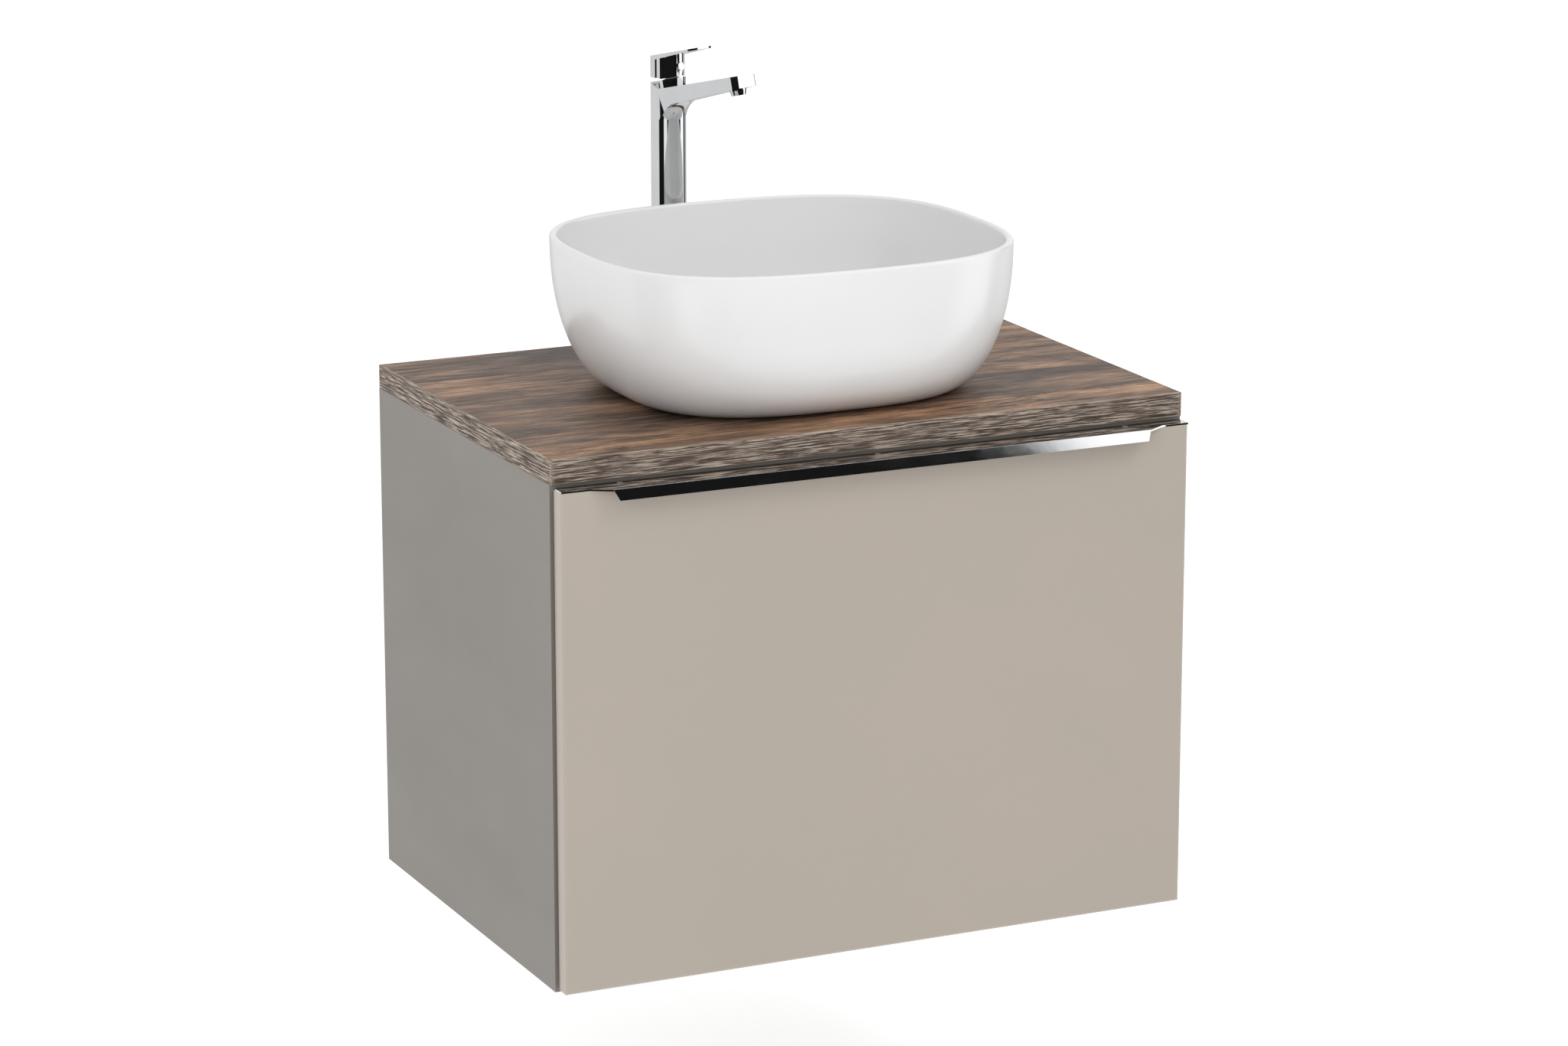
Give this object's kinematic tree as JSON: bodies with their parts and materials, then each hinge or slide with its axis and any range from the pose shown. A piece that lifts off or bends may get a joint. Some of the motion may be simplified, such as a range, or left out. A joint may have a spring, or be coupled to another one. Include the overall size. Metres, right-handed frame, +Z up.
{
  "type": "vessel sink on vanity",
  "caption": "Wall-hung bathroom vanity with a deep soft-taupe drawer, a wood-look worktop, a white rounded-square vessel basin and a tall single-lever mixer tap.",
  "frame": {"origin": "middle of the cabinet's lower back edge, on the plane of the wall: the wall_face mount", "axes": "+Z up, +Y into the wall, so the drawer opens towards -Y; +X to the right as seen from the room"},
  "size_m": [0.7, 0.5075, 0.8687],
  "materials": {
    "carcass_board": "satin melamine board, warm grey",
    "drawer_board": "satin melamine board, pale grey",
    "drawer_lacquer": "satin taupe lacquer",
    "oak_laminate": "matt rustic oak laminate in planks",
    "driftwood_edging": "embossed driftwood edging",
    "polished_chrome": "polished",
    "zinc_steel": "zinc plated",
    "glazed_basin": "gloss white glaze",
    "white_plastic": "semi-gloss",
    "white_silicone": "satin",
    "black_rubber": "matt",
    "brass_fitting": "machined",
    "cartridge_orange": "moulded"
  },
  "bodies": {
    "cabinet": {"side_panel_left": "carcass_board", "side_panel_right": "carcass_board", "bottom_panel": "carcass_board", "front_rail": "carcass_board", "hanging_rail": "carcass_board", "lower_back_rail": "carcass_board", "cam_locks": "zinc_steel", "cam_bolts": "zinc_steel", "worktop": "oak_laminate", "edge_band_front": "driftwood_edging", "edge_band_left": "driftwood_edging", "edge_band_right": "driftwood_edging", "top_brackets": "zinc_steel", "cabinet_screws": "zinc_steel", "hangers": "zinc_steel", "hanger_adjusters": "zinc_steel", "wall_plates": "zinc_steel", "runner_cabinet_members": "zinc_steel", "bumper_pads": "black_rubber", "basin": "glazed_basin", "basin_seal": "white_silicone", "waste_body": "polished_chrome", "waste_gasket": "black_rubber", "waste_washer": "black_rubber", "waste_nut": "brass_fitting", "trap_inlet_nut": "white_plastic", "trap_inlet_tube": "white_plastic", "trap_body": "white_plastic", "trap_cup": "white_plastic", "trap_outlet_nut": "white_plastic", "trap_outlet_pipe": "white_plastic", "tap_body": "polished_chrome", "tap_seal": "black_rubber", "tap_stud": "zinc_steel", "horseshoe_gasket": "black_rubber", "horseshoe_plate": "zinc_steel", "tap_stud_nut": "brass_fitting", "cartridge": "white_plastic", "cartridge_nut": "brass_fitting", "aerator_housing": "polished_chrome", "aerator_insert": "white_plastic"},
    "drawer": {"drawer_front": "drawer_lacquer", "handle_profile": "polished_chrome", "drawer_side_left": "drawer_board", "drawer_side_right": "drawer_board", "drawer_back_boards": "drawer_board", "drawer_bottom": "drawer_board", "siphon_guard": "drawer_board", "runner_drawer_members": "zinc_steel", "front_brackets": "zinc_steel", "drawer_screws": "zinc_steel"},
    "runner_middles": {"runner_middle_members": "zinc_steel"},
    "swivel": {"cartridge_carrier": "cartridge_orange", "pivot_pin": "zinc_steel"},
    "lever_arm": {"cartridge_stem": "zinc_steel", "lever": "polished_chrome", "lever_set_screw": "zinc_steel", "index_cap": "polished_chrome"},
    "plug": {"waste_plug": "polished_chrome"}
  },
  "joints": [
    {"name": "drawer_slide", "type": "slide", "parent": "cabinet", "child": "drawer", "axis": [0, -1, 0], "range_m": [0, 0.36]},
    {"name": "runner_slide", "type": "slide", "parent": "cabinet", "child": "runner_middles", "axis": [0, -1, 0], "range_m": [0, 0.18]},
    {"name": "lever_swivel", "type": "hinge", "parent": "cabinet", "child": "swivel", "pos_m": [-0.026, -0.032, 0.8305], "axis": [-0.0769, 0.2114, 0.9744], "range_deg": [-45, 45]},
    {"name": "lever_lift", "type": "hinge", "parent": "swivel", "child": "lever_arm", "pos_m": [-0.026, -0.032, 0.8305], "axis": [-0.9397, -0.342, 0], "range_deg": [0, 15]},
    {"name": "plug_slide", "type": "slide", "parent": "cabinet", "child": "plug", "axis": [0, 0, 1], "range_m": [0, 0.009]}
  ],
  "couplings": [
    {"joint": "runner_slide", "follows": "drawer_slide", "ratio": 0.5}
  ]
}
